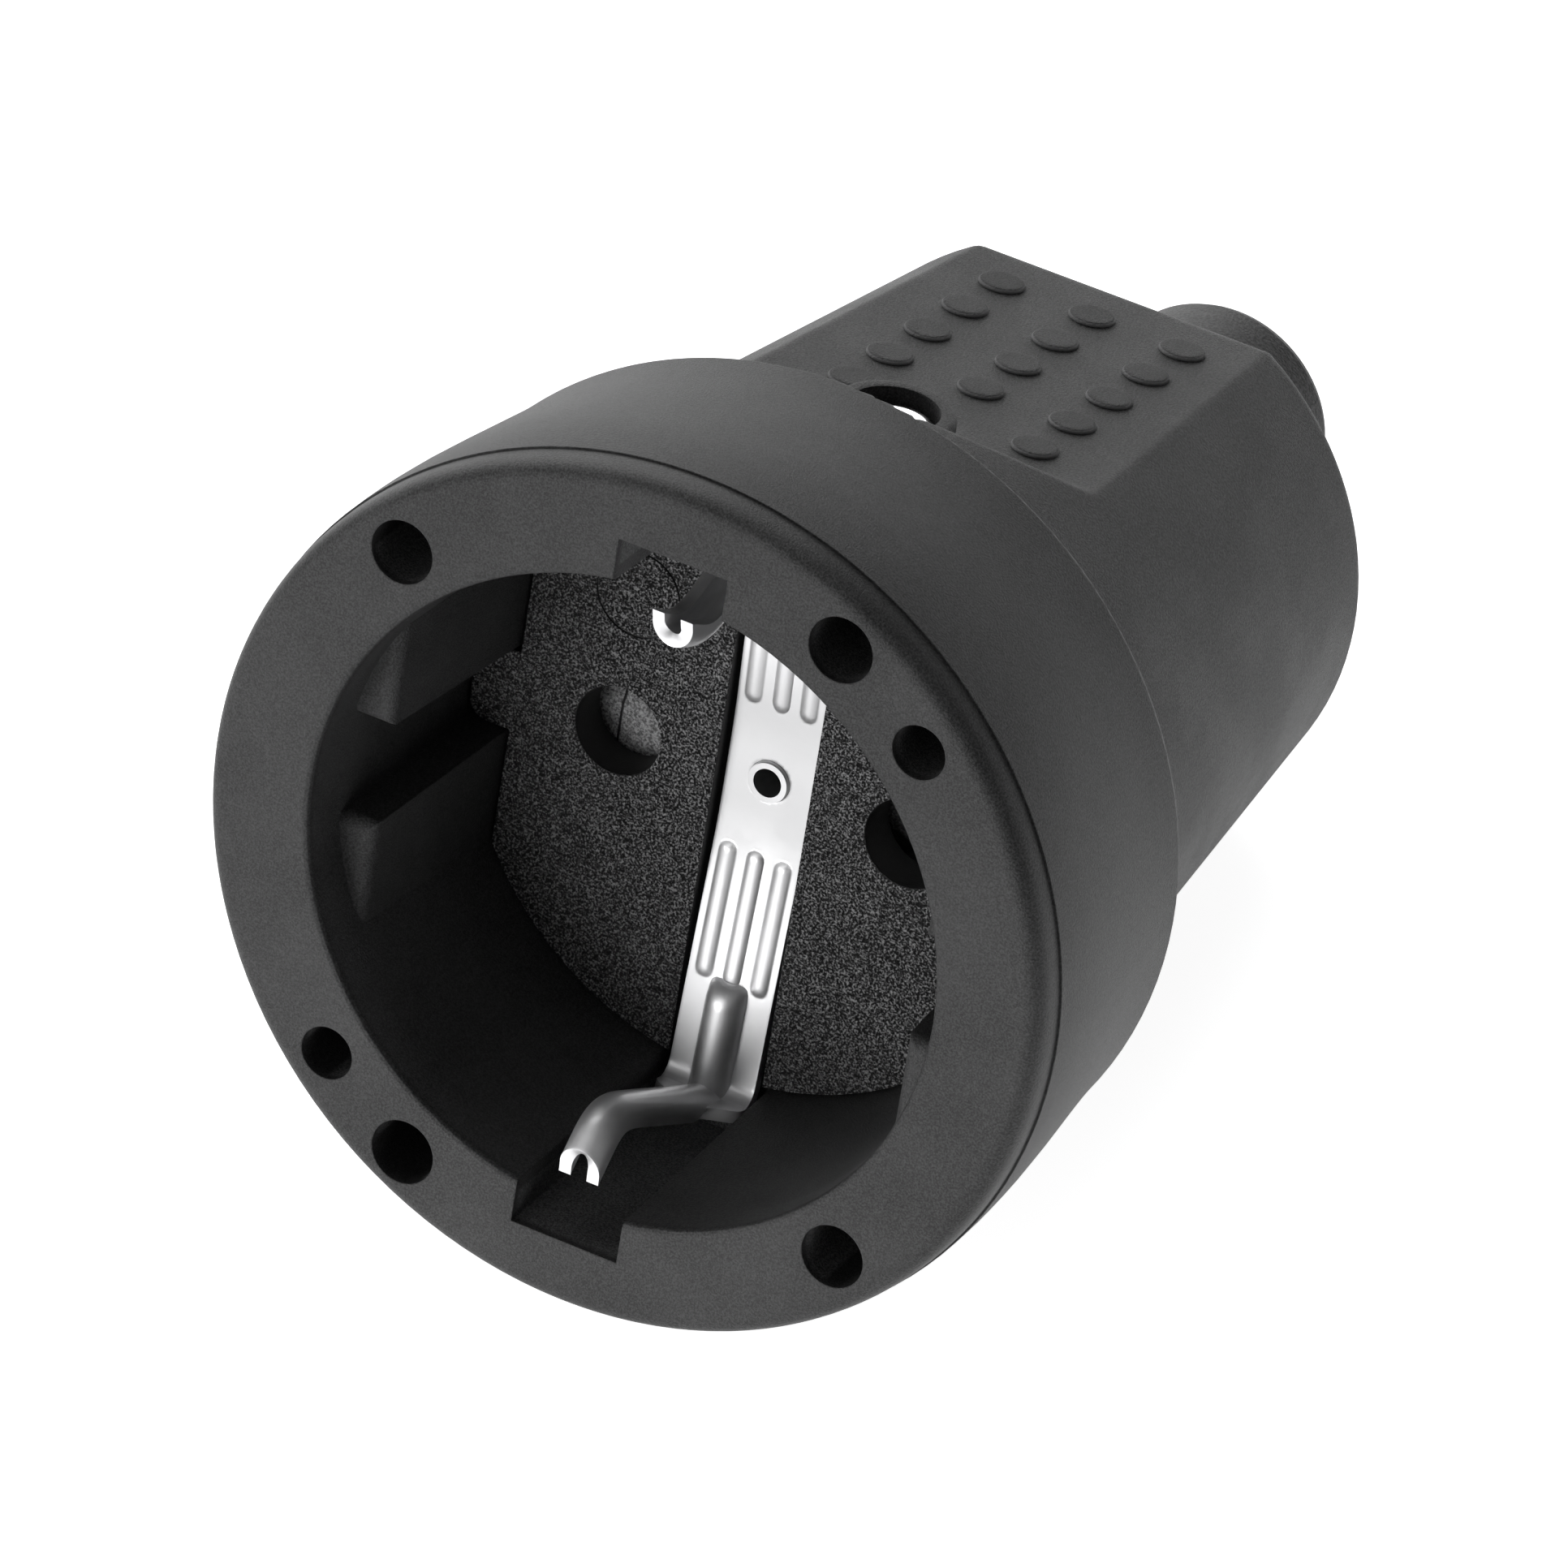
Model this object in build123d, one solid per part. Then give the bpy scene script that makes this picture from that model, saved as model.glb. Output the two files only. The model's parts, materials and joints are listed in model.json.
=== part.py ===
"""In-line power socket with a round recess, side earth clips and a grip handle.

The socket is drawn about its own axis, which runs along Y: the open front face
is the plane y = 0 and looks to -Y, the cable leaves at +Y, the two pin entries
lie on X and the earth clips at top and bottom on Z. Every finished piece is then
leant back about X by the angle at which the socket lies on a table, on the rear
edge of its collar and the rear edge of its lower grip flat.
"""

import math
import os

from build123d import *

# pin pattern and recess of the earthed 16 A two-pole system
PIN_HALF_PITCH = 9.5
PIN_ENTRY_R = 2.75
RECESS_DEPTH = 17.5
RECESS_R_FRONT = 20.0
RECESS_R_REAR = 19.3
RECESS_LIP = 0.3

# front shell: ring face, rolled edge, tapering collar
FACE_R = 25.55
COLLAR_R = 26.8
ROLL_DEPTH = 2.27
PARTING_STEP = 0.12
COLLAR_LEN = 20.3
COLLAR_REAR_R = 25.4
COLLAR_EDGE = 0.5
SKIRT_FIT = 0.2
SKIRT_SHARE = 0.4
SKIRT_END = 24.5
SEAT_Y = 19.8
REBATE_FIT = 0.22
REBATE_INNER_R = 20.6
REBATE_Y = 18.9
SEAT_WALL = 1.5
WAIST = ((26.4, 9.5), (25.78, 15.0))

# guide blocks at the two sides of the recess
BLOCK_Y = 3.5
BLOCK_X_FRONT = 17.25
BLOCK_X_REAR = 16.4
BLOCK_EDGE = 0.8
GUIDE_HALF_FRONT = 3.25
GUIDE_HALF_REAR = 2.7

# clip notches and blind core holes in the ring face
NOTCH_HALF = 3.45
NOTCH_REACH = 22.4
NOTCH_ROOT = 15.0
NOTCH_FLOOR = 1.6
STRAP_ROOM = 20.8
STRAP_ROOM_Y = 18.7
CORE_HOLE_DEPTH = 13.0
CORE_HOLES = (
    (-16.5, 16.5, 1.95),
    (16.5, -16.5, 1.95),
    (16.5, 16.5, 1.65),
    (-16.5, -16.5, 1.65),
    (10.85, 20.85, 2.0),
    (-10.85, -20.85, 2.0),
)

# contact carrier, front and rear halves
FIT = 0.15
CARRIER_ROOM = 3.23
FRONT_WALL_Y = 20.5
CHAMBER_R = 13.8
SPLIT_Y = 23.6
CARRIER_END = 44.0
CARRIER_FLAT = 13.9
WEB_Y = 25.4
COVER_SCREW = (4.6, 11.4)
COVER_SCREW_R = 1.1
COVER_SCREW_TIP = 39.0
COVER_HEAD_R = 2.1
COVER_HEAD_H = 1.3
COVER_T = 2.0
COVER_STEP = 0.6
STRAP_CHANNEL_HALF = 3.1
STRAP_CHANNEL_Y = 19.2
CORE_MARK = (-9.54, 9.02, 2.74)
CORE_MARK_W = 0.14

# shutter behind the pin entries
SHUTTER_FRONT = 20.85
SHUTTER_BACK = 22.95
PIVOT_R = 3.0
PIVOT_GAP = 0.05
PAD_R = 3.2
HUB_R = 4.7

# line contacts and terminals
SLEEVE_R = 3.1
SLEEVE_BORE = 2.35
SLEEVE_START = 26.0
TERMINAL_START = 36.5
TERMINAL_END = 43.2
TERMINAL_HALF = 3.2
WIRE_R = 1.7
LINE_CHAMBER_HALF = 4.0
EARTH_Z = -5.5
TERMINAL_SCREW_R = 1.5
TERMINAL_HEAD_R = 2.5
TERMINAL_HEAD_H = 1.7

# earth strap and clips
STRAP_HALF = 2.8
STRAP_T = 0.8
STRAP_BACK = 19.2
STRAP_TURN = 1.1
STRAP_TIP = 19.9
STRAP_LIFT = 4.5
STRAP_LIFT_Z = 3.5
FLANGE_Y = 16.0
FLANGE_END_Y = 14.9
FLANGE_END_HALF = 1.7
CLIP_R = 1.38
CLIP_WALL = 0.65
CLIP_BEND_R = 2.0
CLIP_ROOT = 14.4
CLIP_CORNER_Z = 21.2
CLIP_VALLEY = (3.0, 15.2)
CLIP_TIP = (0.6, 18.2)
RIVET_R = 1.3
RIVET_BORE = 0.9
LINK_T = 0.8

# handle
HANDLE_R22 = 22.03
HANDLE_GAUGE_Y = 22.0
HANDLE_SLOPE = 0.1035
HANDLE_START = 19.1
HANDLE_END = 59.9
HANDLE_EDGE = 1.8
HANDLE_WALL = 2.4
FLAT_Z0 = 20.336
FLAT_SLOPE = 0.0831
FLAT_START = 31.7
RAMP_SLOPE = 0.68
FLAT_EDGE = 0.9
RAMP_FOOT_R = 2.5
DOT_R = 1.42
DOT_RISE = 0.28
DOT_EDGE = 0.2
DOT_PITCH_X = 6.0
DOT_PITCH_Y = 4.95
DOT_FIRST_Y = 34.6
SCREW_Y = 27.5
SCREW_WELL_R = 2.68
BOSS_R = 3.65
BOSS_TOP = 20.75
BOSS_EDGE = 0.4
HEAD_TOP = 19.3
HEAD_R = 2.4
HEAD_H = 2.0
SCREW_R = 1.5
SCREW_TIP = 10.2
NUT_HALF = 2.75
NUT_Z0 = 11.0
NUT_Z1 = 13.0

# strain relief and cable sleeve
CLAMP_Y0 = 49.5
CLAMP_Y1 = 54.5
CLAMP_X = 9.0
CLAMP_Z = 5.2
CABLE_BORE = 5.2
GLAND_R0 = 8.0
GLAND_R1 = 7.35
GLAND_END = 77.5
GLAND_FLANGE_R = 10.0
REAR_WALL = 2.4
CLAMP_EAR = 2.8
CLAMP_T = 3.0
CLAMP_GAP = 0.6
CLAMP_SCREW_R = 1.4
CLAMP_HEAD_R = 2.5
CLAMP_HEAD_H = 1.7
CABLE_ROOM = 0.4
BORE_FLARE = 0.7

CLEAR = 0.02
ROUGH = 60.0


def flat_z(y):
    return FLAT_Z0 - FLAT_SLOPE * y


def handle_r(y):
    return HANDLE_R22 - HANDLE_SLOPE * (y - HANDLE_GAUGE_Y)


# what lies inside the handle and what the handle's front edge enters
CARRIER_R = HANDLE_R22 - HANDLE_WALL - CARRIER_ROOM
SKIRT_BORE = CARRIER_R + SKIRT_FIT
SKIRT_R = SKIRT_BORE + SKIRT_SHARE * (REBATE_INNER_R - SKIRT_BORE)
REBATE_R = handle_r(HANDLE_START) + REBATE_FIT


def rest_tilt():
    """Angle of the common tangent under the collar's and the handle's rear edges."""
    flat_edge = flat_z(HANDLE_END)
    run = (HANDLE_END - HANDLE_EDGE) - (COLLAR_LEN - COLLAR_EDGE)
    rise = (COLLAR_REAR_R - COLLAR_EDGE) - (flat_edge - HANDLE_EDGE)
    turn = math.asin((HANDLE_EDGE - COLLAR_EDGE) / math.hypot(run, rise))
    return math.degrees(math.atan2(rise, run) - turn)


def box(x0, x1, y0, y1, z0, z1):
    return Pos((x0 + x1) / 2, (y0 + y1) / 2, (z0 + z1) / 2) * Box(x1 - x0, y1 - y0, z1 - z0)


def rod_y(r, y0, y1, x=0.0, z=0.0):
    return Pos(x, (y0 + y1) / 2, z) * Rot(90, 0, 0) * Cylinder(r, y1 - y0)


def rod_z(r, z0, z1, x=0.0, y=0.0):
    return Pos(x, y, (z0 + z1) / 2) * Cylinder(r, z1 - z0)


def turned(points):
    """Solid of revolution about Y from a closed polygon of (radius, y) points."""
    return revolve(make_face(Polyline(*points, close=True)), Axis.Y)


def slab_x(points, half):
    """Polygon of (y, z) points drawn out to both sides along X."""
    return extrude(Plane.YZ * make_face(Polyline(*points, close=True)), half, both=True)


def slab_z(points, half):
    """Polygon of (x, y) points drawn out to both sides along Z."""
    return extrude(make_face(Polyline(*points, close=True)), half, both=True)


def both_ends(shape):
    """A shape and its copy turned half round the socket axis."""
    return [shape, Rot(0, 180, 0) * shape]


def fuse(shapes):
    total = shapes[0]
    for shape in shapes[1:]:
        total = total + shape
    return total


def guide_blocks():
    """Segment-shaped fillings at both sides of the recess, each split by a guide channel."""
    wedge = slab_z(
        (
            (BLOCK_X_FRONT, BLOCK_Y),
            (ROUGH, BLOCK_Y),
            (ROUGH, SEAT_Y + 1),
            (BLOCK_X_REAR, SEAT_Y + 1),
        ),
        ROUGH,
    )
    channel = slab_x(
        (
            (BLOCK_Y - 1, GUIDE_HALF_FRONT),
            (SEAT_Y + 2, GUIDE_HALF_REAR),
            (SEAT_Y + 2, -GUIDE_HALF_REAR),
            (BLOCK_Y - 1, -GUIDE_HALF_FRONT),
        ),
        ROUGH,
    )
    right = wedge - channel
    front = right.edges().filter_by(
        lambda e: abs(e.center().Y - BLOCK_Y) < 0.1 and e.center().X < ROUGH - 1
        and abs(e.center().Z) < ROUGH - 1
    )
    right = fillet(front, BLOCK_EDGE)
    return fuse(both_ends(right))


def recess():
    """Hollow that takes the plug, with its side blocks left standing."""
    cone = turned(
        (
            (0, -1),
            (RECESS_R_FRONT + RECESS_LIP, -1),
            (RECESS_R_FRONT + RECESS_LIP, 0),
            (RECESS_R_FRONT + RECESS_LIP * 0.3, RECESS_LIP * 0.3),
            (RECESS_R_FRONT, RECESS_LIP),
            (RECESS_R_REAR, SEAT_Y),
            (0, SEAT_Y),
        )
    )
    return cone - guide_blocks()


def front_shell():
    rolled = Spline(
        (FACE_R, 0), (COLLAR_R - PARTING_STEP, ROLL_DEPTH), tangents=[(1, 0), (-0.03, 1)]
    )
    step = Line((COLLAR_R - PARTING_STEP, ROLL_DEPTH), (COLLAR_R, ROLL_DEPTH))
    side = Spline(
        (COLLAR_R, ROLL_DEPTH),
        *WAIST,
        (COLLAR_REAR_R, COLLAR_LEN - COLLAR_EDGE),
    )
    edge = RadiusArc(
        (COLLAR_REAR_R, COLLAR_LEN - COLLAR_EDGE),
        (COLLAR_REAR_R - COLLAR_EDGE, COLLAR_LEN),
        -COLLAR_EDGE,
    )
    inner = Polyline(
        (COLLAR_REAR_R - COLLAR_EDGE, COLLAR_LEN),
        (REBATE_R, COLLAR_LEN),
        (REBATE_R, REBATE_Y),
        (REBATE_INNER_R, REBATE_Y),
        (REBATE_INNER_R, SEAT_Y + SEAT_WALL),
        (SKIRT_R, SEAT_Y + SEAT_WALL),
        (SKIRT_R, SKIRT_END),
        (SKIRT_BORE, SKIRT_END),
        (SKIRT_BORE, SEAT_Y),
        (0, SEAT_Y),
        (0, 0),
        (FACE_R, 0),
    )
    body = revolve(make_face([rolled, step, side, edge, inner]), Axis.Y)
    body = body - recess()
    body = body - rod_y(SKIRT_BORE, SEAT_Y - 1, SKIRT_END + 1)
    for side_sign in (1, -1):
        z0, z1 = sorted((side_sign * NOTCH_ROOT, side_sign * NOTCH_REACH))
        body = body - box(-NOTCH_HALF, NOTCH_HALF, -1, REBATE_Y - NOTCH_FLOOR, z0, z1)
        z0, z1 = sorted((side_sign * NOTCH_ROOT, side_sign * STRAP_ROOM))
        body = body - box(-NOTCH_HALF, NOTCH_HALF, 1, STRAP_ROOM_Y, z0, z1)
    for x, z, r in CORE_HOLES:
        body = body - rod_y(r, -1, CORE_HOLE_DEPTH, x, z)
    return body


def carrier_outline(y0, y1):
    """Plug face outline: a disc cut flat at both sides, with an ear in each guide channel."""
    disc = rod_y(RECESS_R_REAR - FIT, y0, y1)
    disc = disc & box(-BLOCK_X_REAR + FIT, BLOCK_X_REAR - FIT, y0, y1, -ROUGH, ROUGH)
    half = GUIDE_HALF_REAR - FIT
    reach = RECESS_R_REAR - FIT - 0.1
    ears = box(-reach, reach, y0, y1, -half, half)
    ears = fillet(ears.edges().filter_by(Axis.Y), 1.3)
    return disc + ears


def pin_holes(y0, y1, r):
    return rod_y(r, y0, y1, PIN_HALF_PITCH) + rod_y(r, y0, y1, -PIN_HALF_PITCH)


def carrier_front():
    plug = carrier_outline(RECESS_DEPTH, SEAT_Y)
    plug = plug + rod_y(CARRIER_R, SEAT_Y, SPLIT_Y)
    plug = plug - rod_y(CHAMBER_R, FRONT_WALL_Y, SPLIT_Y + 1)
    plug = plug + rod_y(PIVOT_R, FRONT_WALL_Y, WEB_Y - 0.4)
    plug = plug - rod_y(RIVET_R + CLEAR, RECESS_DEPTH - 1, ROUGH)
    plug = plug - pin_holes(RECESS_DEPTH - 1, FRONT_WALL_Y + 1, PIN_ENTRY_R)
    for x in (PIN_HALF_PITCH, -PIN_HALF_PITCH):
        plug = plug - Pos(x, RECESS_DEPTH, 0) * Rot(90, 0, 0) * Cone(
            PIN_ENTRY_R, PIN_ENTRY_R + 0.15, 0.3
        )
    channel = box(-STRAP_CHANNEL_HALF, STRAP_CHANNEL_HALF, RECESS_DEPTH - 1,
                  STRAP_CHANNEL_Y, -ROUGH, ROUGH)
    x, z, r = CORE_MARK
    depth = RECESS_DEPTH + CORE_MARK_W
    mark = rod_y(r, RECESS_DEPTH - 1, depth, x, z) - rod_y(r - CORE_MARK_W, 0, ROUGH, x, z)
    return plug - channel - mark


def chamber(x0, x1, z0, z1, y0=WEB_Y):
    return box(x0, x1, y0, CARRIER_END + 1, z0, z1)


def screw_window(x, z0, z1):
    return box(x - TERMINAL_HALF, x + TERMINAL_HALF, TERMINAL_START - 0.3,
               CARRIER_END + 1, z0, z1)


def carrier_rear():
    block = rod_y(CARRIER_R, SPLIT_Y, CARRIER_END)
    block = block & box(-ROUGH, ROUGH, 0, ROUGH, -CARRIER_FLAT, CARRIER_FLAT)
    half = LINE_CHAMBER_HALF
    for x in (PIN_HALF_PITCH, -PIN_HALF_PITCH):
        block = block - chamber(x - half, x + half, -half, half)
        block = block - rod_y(PIN_ENTRY_R, SPLIT_Y - 1, WEB_Y + 1, x)
        block = block - screw_window(x, 0, ROUGH)
    earth_low = EARTH_Z - TERMINAL_HALF - 0.4
    block = block - chamber(-TERMINAL_HALF - 0.3, TERMINAL_HALF + 0.3, earth_low, 2.6)
    block = block - screw_window(0, -ROUGH, 0)
    block = block - rod_y(8.4, SPLIT_Y - 1, WEB_Y - 0.5 + 0.1)
    block = block - rod_y(PIVOT_R + 0.15, SPLIT_Y - 1, WEB_Y + 1)
    for shape in both_ends(box(-NUT_HALF - CLEAR, NUT_HALF + CLEAR, SCREW_Y - NUT_HALF - CLEAR,
                               SCREW_Y + NUT_HALF + CLEAR, NUT_Z0 - CLEAR, NUT_Z1 + CLEAR)):
        block = block - shape
    for shape in both_ends(rod_z(SCREW_R + 0.2, SCREW_TIP - 0.4, CARRIER_FLAT + 1, 0, SCREW_Y)):
        block = block - shape
    for shape in both_ends(rod_y(COVER_SCREW_R + CLEAR, COVER_SCREW_TIP - 0.5, CARRIER_END + 1,
                                 *COVER_SCREW)):
        block = block - shape
    return block


def rear_cover():
    plate = rod_y(CARRIER_R - COVER_STEP, CARRIER_END, CARRIER_END + COVER_T)
    plate = plate & box(-ROUGH, ROUGH, 0, ROUGH, -CARRIER_FLAT + 0.4, CARRIER_FLAT - 0.4)
    plate = plate - pin_holes(CARRIER_END - 1, CARRIER_END + 3, 2.6)
    plate = plate - rod_y(2.6, CARRIER_END - 1, CARRIER_END + 3, 0, EARTH_Z)
    for shape in both_ends(rod_y(COVER_SCREW_R + 0.2, CARRIER_END - 1, CARRIER_END + 3, *COVER_SCREW)):
        plate = plate - shape
    return plate


def cover_screws():
    x, z = COVER_SCREW
    seat = CARRIER_END + COVER_T
    top = seat + COVER_HEAD_H
    screw = rod_y(COVER_HEAD_R, seat, top, x, z) + rod_y(COVER_SCREW_R, COVER_SCREW_TIP, seat, x, z)
    screw = screw - box(x - 0.3, x + 0.3, top - 0.6, top + 1, 0, ROUGH)
    return Compound(both_ends(screw))


def shutter():
    front, back = SHUTTER_FRONT, SHUTTER_BACK
    body = rod_y(HUB_R, front, back)
    body = body + box(-PIN_HALF_PITCH, PIN_HALF_PITCH, front, back, -2.0, 2.0)
    body = body + pin_holes(front, back, PAD_R)
    for x in (PIN_HALF_PITCH, -PIN_HALF_PITCH):
        lean = 24 if x > 0 else -24
        body = body - Pos(x, front - 0.75, 0) * Rot(lean, 0, 0) * Box(
            2 * PAD_R + 1, 1.5, 4 * PAD_R
        ) & box(-ROUGH, ROUGH, front, back, -ROUGH, ROUGH)
    return body - rod_y(PIVOT_R + PIVOT_GAP, front - 1, back + 1)


def shutter_spring():
    """Torsion spring round the pivot, with one leg to the shutter and one outwards."""
    wire = 0.25
    coil_r = 4.0
    y0 = SHUTTER_BACK + wire
    coil = Helix(0.62, 1.3, coil_r, center=(0, y0, 0), direction=(0, 1, 0))
    start = Plane(coil @ 0, z_dir=coil % 0)
    turns = sweep(start * Circle(wire), path=coil)
    end_point = coil @ 1
    out = coil % 1
    leg = Pos(*end_point) * Plane((0, 0, 0), z_dir=out).location * Pos(0, 0, 1.6) * Cylinder(wire, 3.2)
    return turns + leg


def terminal(x, z, screw_up):
    y0, y1 = TERMINAL_START, TERMINAL_END
    half = TERMINAL_HALF - 0.25
    block = box(x - half, x + half, y0, y1, z - half, z + half)
    block = chamfer(block.edges().filter_by(Axis.Y), 0.5)
    block = block - rod_y(WIRE_R, y0 + 1.2, y1 + 1, x, z)
    mid = (y0 + y1) / 2
    z0, z1 = sorted((z, z + screw_up * (half + 1)))
    return block - rod_z(TERMINAL_SCREW_R + CLEAR, z0, z1, x, mid)


def line_contact(x):
    """Slit sleeve that grips the pin, with its root strip."""
    sleeve = rod_y(SLEEVE_R, SLEEVE_START, TERMINAL_START, x)
    sleeve = sleeve - rod_y(SLEEVE_BORE, SLEEVE_START - 1, TERMINAL_START - 1.2, x)
    sleeve = sleeve - Pos(x, SLEEVE_START, 0) * Rot(90, 0, 0) * Cone(
        SLEEVE_BORE, SLEEVE_BORE + 0.45, 0.9
    )
    slit = box(x - 4, x + 4, SLEEVE_START - 1, TERMINAL_START - 3, -0.35, 0.35)
    return sleeve - slit


def grip_ring(x):
    """Steel spring ring clasped round the slit sleeve, open at one side."""
    ring = rod_y(SLEEVE_R + 0.45, SLEEVE_START + 1.4, SLEEVE_START + 4.4, x)
    ring = ring - rod_y(SLEEVE_R + CLEAR, SLEEVE_START, SLEEVE_START + 6, x)
    sign = 1 if x > 0 else -1
    x0, x1 = sorted((x + sign * 2.0, x + sign * 5.0))
    return ring - box(x0, x1, SLEEVE_START, SLEEVE_START + 6, -0.6, 0.6)


def terminal_screws():
    mid = (TERMINAL_START + TERMINAL_END) / 2
    half = TERMINAL_HALF - 0.25
    screws = []
    for x, z, up in ((PIN_HALF_PITCH, 0, 1), (-PIN_HALF_PITCH, 0, 1), (0, EARTH_Z, -1)):
        tip = z + up * (WIRE_R - 0.3)
        seat = z + up * (half + 1.4)
        top = seat + up * TERMINAL_HEAD_H
        shank = rod_z(TERMINAL_SCREW_R, *sorted((tip, seat)), x, mid)
        head = rod_z(TERMINAL_HEAD_R, *sorted((seat, top)), x, mid)
        slot = box(x - 3, x + 3, mid - 0.35, mid + 0.35, *sorted((top - up * 0.8, top + up)))
        screws.append(shank + head - slot)
    return Compound(screws)


def lifted(y, z):
    """Y of a sheet line y at height z, where the strap's arms spring forward."""
    return y - max(z - STRAP_LIFT_Z, 0) * math.tan(math.radians(STRAP_LIFT))


def clip():
    """Upper earth clip: rib on the arm, bend, sprung channel open outwards, turned-out tip."""
    face = STRAP_BACK - STRAP_T + 0.1
    root = (lifted(face, CLIP_ROOT), CLIP_ROOT)
    corner = (lifted(face, CLIP_CORNER_Z), CLIP_CORNER_Z)
    path = Plane.YZ * FilletPolyline(root, corner, CLIP_VALLEY, CLIP_TIP, radius=CLIP_BEND_R)
    lean = math.radians(STRAP_LIFT)
    lane = Plane((0, *root), x_dir=(1, 0, 0), z_dir=(0, -math.sin(lean), math.cos(lean)))
    keep = Pos(0, -CLIP_R) * Rectangle(4 * CLIP_R, 2 * CLIP_R)
    channel = sweep(lane * ((Circle(CLIP_R) - Circle(CLIP_R - CLIP_WALL)) & keep), path=path)
    nose = Sphere(CLIP_R) & Pos(0, -CLIP_R, -CLIP_R) * Box(4 * CLIP_R, 2 * CLIP_R, 2 * CLIP_R)
    return channel + lane.location * nose


def strap_arm():
    """Upper half of the strap: sheet that springs forward, then turns into a tapering flange."""
    mid = STRAP_BACK - STRAP_T / 2
    bend_z = STRAP_TIP - STRAP_TURN
    bend_y = lifted(mid, bend_z)
    run = [
        Line((mid, 0), (mid, STRAP_LIFT_Z)),
        Line((mid, STRAP_LIFT_Z), (bend_y, bend_z)),
        RadiusArc((bend_y, bend_z), (bend_y - STRAP_TURN, STRAP_TIP), -STRAP_TURN),
        Line((bend_y - STRAP_TURN, STRAP_TIP), (FLANGE_END_Y, STRAP_TIP - 0.1)),
    ]
    arm = extrude(Plane.YZ * trace(run, STRAP_T), STRAP_HALF, both=True)
    taper = (
        (STRAP_HALF + 1, ROUGH),
        (STRAP_HALF + 1, FLANGE_Y),
        (STRAP_HALF, FLANGE_Y),
        (FLANGE_END_HALF, FLANGE_END_Y),
        (-FLANGE_END_HALF, FLANGE_END_Y),
        (-STRAP_HALF, FLANGE_Y),
        (-STRAP_HALF - 1, FLANGE_Y),
        (-STRAP_HALF - 1, ROUGH),
    )
    return arm & slab_z(taper, ROUGH)


def bead(x):
    """Raised bead pressed into the arm, with round ends."""
    face = STRAP_BACK - STRAP_T
    z0, z1 = 5.2, 12.9
    rod = rod_z(0.5, z0, z1, x, face + 0.2)
    rod = rod + Pos(x, face + 0.2, z0) * Sphere(0.5) + Pos(x, face + 0.2, z1) * Sphere(0.5)
    rod = rod & box(-4, 4, face - 1, face + 0.5, -20, 20)
    pivot = Pos(0, STRAP_BACK - STRAP_T / 2, STRAP_LIFT_Z)
    return pivot * Rot(STRAP_LIFT, 0, 0) * pivot.inverse() * rod


def earth_strap():
    face = STRAP_BACK - STRAP_T
    arm = fuse([strap_arm()] + [bead(x) for x in (-1.8, 0, 1.8)] + [clip()])
    strap = arm + mirror(arm, about=Plane.XY)
    strap = strap - rod_y(RIVET_R + CLEAR, face - 2, STRAP_BACK + 1)
    return strap - Pos(0, face + 0.2, 0) * Rot(90, 0, 0) * Cone(RIVET_R, RIVET_R + 0.25, 0.42)


def earth_rivet():
    """Tubular rivet through strap, carrier and link, rolled over at both ends."""
    front = STRAP_BACK - STRAP_T
    back = WEB_Y + LINK_T
    body = turned(
        (
            (RIVET_BORE, front - 0.25),
            (RIVET_R - 0.05, front - 0.25),
            (RIVET_R, front - 0.1),
            (RIVET_R, back),
            (RIVET_R + 0.5, back),
            (RIVET_R + 0.5, back + 0.3),
            (RIVET_R, back + 0.5),
            (RIVET_BORE, back + 0.5),
        )
    )
    return body


def earth_link():
    """Strip from the rivet's tail down and back to the earth terminal."""
    y_mid = WEB_Y + LINK_T / 2
    turn = 0.9
    path = [
        Line((y_mid, 2.2), (y_mid, EARTH_Z + turn)),
        RadiusArc((y_mid, EARTH_Z + turn), (y_mid + turn, EARTH_Z), -turn),
        Line((y_mid + turn, EARTH_Z), (TERMINAL_START, EARTH_Z)),
    ]
    strip = extrude(Plane.YZ * trace(path, LINK_T), 2.1, both=True)
    strip = strip & box(-5, 5, 0, TERMINAL_START, -20, 20)
    return strip - rod_y(RIVET_R + CLEAR, WEB_Y - 1, WEB_Y + LINK_T + 1)


def flat_half_space(drop=0.0, ramp=True):
    """Region above the sloped upper grip flat, closed in front by a steep ramp."""
    far = HANDLE_END + 10
    foot = FLAT_START + drop * 0.3
    low = flat_z(foot) - drop
    top_y = foot - (ROUGH - low) / RAMP_SLOPE
    if ramp:
        points = ((foot, low), (far, flat_z(far) - drop), (far, ROUGH), (top_y, ROUGH))
    else:
        near = SKIRT_END + 1
        points = ((near, low), (far, flat_z(far) - drop), (far, ROUGH), (near, ROUGH))
    return slab_x(points, ROUGH)


def dots():
    """Raised gripping dots on the upper flat, three across, with none at the screw boss."""
    lean = math.degrees(math.atan(FLAT_SLOPE))
    shapes = []
    for row in range(5):
        y = DOT_FIRST_Y + DOT_PITCH_Y * row
        for column in (-1, 0, 1) if row else (-1, 1):
            place = Pos(column * DOT_PITCH_X, y, flat_z(y)) * Rot(-lean, 0, 0)
            dot = Cylinder(DOT_R, 2 * DOT_RISE)
            shapes.append(place * fillet(dot.edges().group_by(Axis.Z)[-1], DOT_EDGE))
    return shapes


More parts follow.
